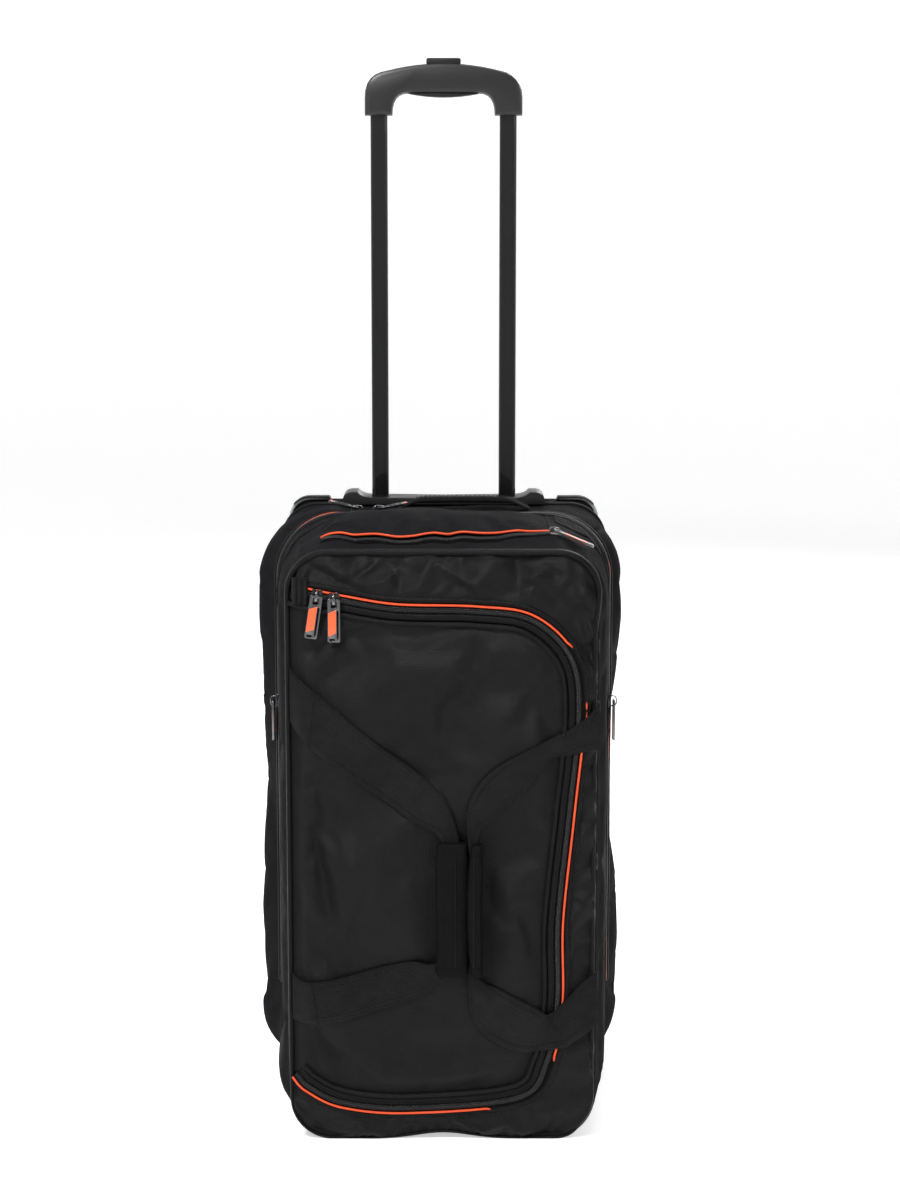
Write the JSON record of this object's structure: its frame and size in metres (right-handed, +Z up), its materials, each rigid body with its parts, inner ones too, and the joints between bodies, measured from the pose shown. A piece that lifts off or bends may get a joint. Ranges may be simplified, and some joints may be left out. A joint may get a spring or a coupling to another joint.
{
  "type": "rolling duffel bag",
  "caption": "Upright soft travel bag on wheels with a telescopic pull handle, a hinged zip lid, carry handles and a zip pocket on its top end.",
  "frame": {"origin": "on the floor, at the middle of the overall bounding box, with the bag standing on its wheels and front foot bar", "axes": "+X to the right seen from the lid, +Y towards the back board and the pull handle, +Z up"},
  "size_m": [0.33, 0.284, 0.966],
  "materials": {
    "fabric": "black satin polyester weave over foam",
    "lining": "dark grey thin lining over board",
    "webbing": "black ribbed webbing",
    "plastic": "satin moulded plastic",
    "trim": "light grey corner guard",
    "board": "coarse black fabric over a stiff board",
    "tube": "gloss black anodised",
    "steel": "zinc plated",
    "zip_metal": "black nickel",
    "pull": "dark metal frame with an orange insert",
    "rubber": "matt black"
  },
  "bodies": {
    "bag": {"right_side_panel": "fabric", "top_end_panel": "fabric", "left_side_panel": "fabric", "bottom_end_panel": "fabric", "front_rim": "fabric", "top_pocket": "fabric", "top_grab_handle": "fabric", "back_board": "board", "left_corner_guard": "trim", "right_corner_guard": "trim", "left_skid_rail": "plastic", "right_skid_rail": "plastic", "stand_foot_bar": "rubber", "trolley_bezel": "plastic", "left_outer_tube": "tube", "right_outer_tube": "tube", "tube_foot_bracket": "plastic", "tube_cover": "lining", "left_wheel_housing": "plastic", "right_wheel_housing": "plastic", "left_wheel_axle": "steel", "right_wheel_axle": "steel", "ring_zip_left_slider": "zip_metal", "top_pocket_zip_slider": "zip_metal"},
    "telescopic_handle": {"grip_body": "plastic", "grip_pad": "rubber", "left_grip_screw": "steel", "right_grip_screw": "steel", "left_inner_tube": "tube", "right_inner_tube": "tube", "left_tube_plug": "plastic", "right_tube_plug": "plastic"},
    "button": {"release_button": "plastic", "push_yoke": "plastic", "left_push_rod": "steel", "right_push_rod": "steel", "button_spring": "steel"},
    "left_pin": {"left_lock_pin": "steel"},
    "right_pin": {"right_lock_pin": "steel"},
    "left_wheel": {"left_wheel_tyre": "rubber", "left_wheel_hub": "plastic"},
    "right_wheel": {"right_wheel_tyre": "rubber", "right_wheel_hub": "plastic"},
    "lid": {"lid_panel": "fabric", "main_zip_left_slider": "zip_metal"},
    "left_handle": {"left_carry_strap": "webbing", "left_grip_sleeve": "fabric"},
    "right_handle": {"right_carry_strap": "webbing", "right_grip_sleeve": "fabric"},
    "main_right_slider": {"main_zip_right_slider": "zip_metal"},
    "ring_right_slider": {"ring_zip_right_slider": "zip_metal"},
    "left_side_slider": {"left_side_zip_slider": "zip_metal"},
    "right_side_slider": {"right_side_zip_slider": "zip_metal"},
    "main_left_pull": {"main_zip_left_pull": "pull"},
    "main_right_pull": {"main_zip_right_pull": "pull"},
    "top_pocket_pull": {"top_pocket_zip_pull": "pull"},
    "ring_left_pull": {"ring_zip_left_pull": "pull"},
    "ring_right_pull": {"ring_zip_right_pull": "pull"},
    "left_side_pull": {"left_side_zip_pull": "pull"},
    "right_side_pull": {"right_side_zip_pull": "pull"}
  },
  "joints": [
    {"name": "handle_extend", "type": "slide", "parent": "bag", "child": "telescopic_handle", "axis": [0, 0, 1], "range_m": [-0.356, 0]},
    {"name": "button_press", "type": "slide", "parent": "telescopic_handle", "child": "button", "axis": [0, 0, -1], "range_m": [0, 0.004], "stiffness_N_per_m": 1500, "springref_m": -0.001, "deforming": ["button_spring"]},
    {"name": "left_pin_retract", "type": "slide", "parent": "telescopic_handle", "child": "left_pin", "axis": [1, 0, 0], "range_m": [0, 0.002]},
    {"name": "right_pin_retract", "type": "slide", "parent": "telescopic_handle", "child": "right_pin", "axis": [-1, 0, 0], "range_m": [0, 0.002]},
    {"name": "left_wheel_spin", "type": "hinge", "parent": "bag", "child": "left_wheel", "pos_m": [-0.132, 0.11, 0.032], "axis": [1, 0, 0], "continuous": true},
    {"name": "right_wheel_spin", "type": "hinge", "parent": "bag", "child": "right_wheel", "pos_m": [0.132, 0.11, 0.032], "axis": [1, 0, 0], "continuous": true},
    {"name": "lid_open", "type": "hinge", "parent": "bag", "child": "lid", "pos_m": [-0.1228, -0.122, 0.26], "axis": [0, 0, -1], "range_deg": [0, 100], "deforming": ["right_carry_strap", "right_grip_sleeve"]},
    {"name": "left_handle_lift", "type": "hinge", "parent": "lid", "child": "left_handle", "pos_m": [-0.116, -0.128, 0.26], "axis": [0, 0, -1], "range_deg": [0, 80]},
    {"name": "right_handle_lift", "type": "hinge", "parent": "bag", "child": "right_handle", "pos_m": [0.129, -0.128, 0.25], "axis": [0, 0, 1], "range_deg": [0, 121]},
    {"name": "main_right_slider_travel", "type": "slide", "parent": "lid", "child": "main_right_slider", "axis": [0.9846, 0, -0.1751], "range_m": [0, 0.045]},
    {"name": "ring_right_slider_travel", "type": "slide", "parent": "bag", "child": "ring_right_slider", "axis": [1, 0, 0], "range_m": [0, 0.14]},
    {"name": "left_side_slider_travel", "type": "slide", "parent": "bag", "child": "left_side_slider", "axis": [0, 0, -1], "range_m": [-0.09, 0.26]},
    {"name": "right_side_slider_travel", "type": "slide", "parent": "bag", "child": "right_side_slider", "axis": [0, 0, -1], "range_m": [-0.09, 0.26]},
    {"name": "main_left_pull_swing", "type": "hinge", "parent": "lid", "child": "main_left_pull", "pos_m": [-0.11, -0.128, 0.498], "axis": [-0.989, 0, 0.1478], "range_deg": [0, 100]},
    {"name": "main_right_pull_swing", "type": "hinge", "parent": "main_right_slider", "child": "main_right_pull", "pos_m": [-0.095, -0.128, 0.495], "axis": [-1, 0, 0], "range_deg": [0, 100]},
    {"name": "top_pocket_pull_swing", "type": "hinge", "parent": "bag", "child": "top_pocket_pull", "pos_m": [0.09849, -0.08, 0.54952], "axis": [0, -1, 0], "range_deg": [0, 110]},
    {"name": "ring_left_pull_swing", "type": "hinge", "parent": "bag", "child": "ring_left_pull", "pos_m": [-0.08, 0.036, 0.5542], "axis": [0, 1, 0], "range_deg": [0, 80]},
    {"name": "ring_right_pull_swing", "type": "hinge", "parent": "ring_right_slider", "child": "ring_right_pull", "pos_m": [-0.06, 0.036, 0.5542], "axis": [0, -1, 0], "range_deg": [0, 80]},
    {"name": "left_side_pull_swing", "type": "hinge", "parent": "left_side_slider", "child": "left_side_pull", "pos_m": [-0.1598, 0.036, 0.372], "axis": [0, 1, 0], "range_deg": [0, 100]},
    {"name": "right_side_pull_swing", "type": "hinge", "parent": "right_side_slider", "child": "right_side_pull", "pos_m": [0.1598, 0.036, 0.372], "axis": [0, -1, 0], "range_deg": [0, 100]}
  ],
  "couplings": [
    {"joint": "left_pin_retract", "follows": "button_press", "ratio": 0.5},
    {"joint": "right_pin_retract", "follows": "button_press", "ratio": 0.5},
    {"joint": "right_handle_lift", "follows": "lid_open", "ratio": 1.2}
  ]
}
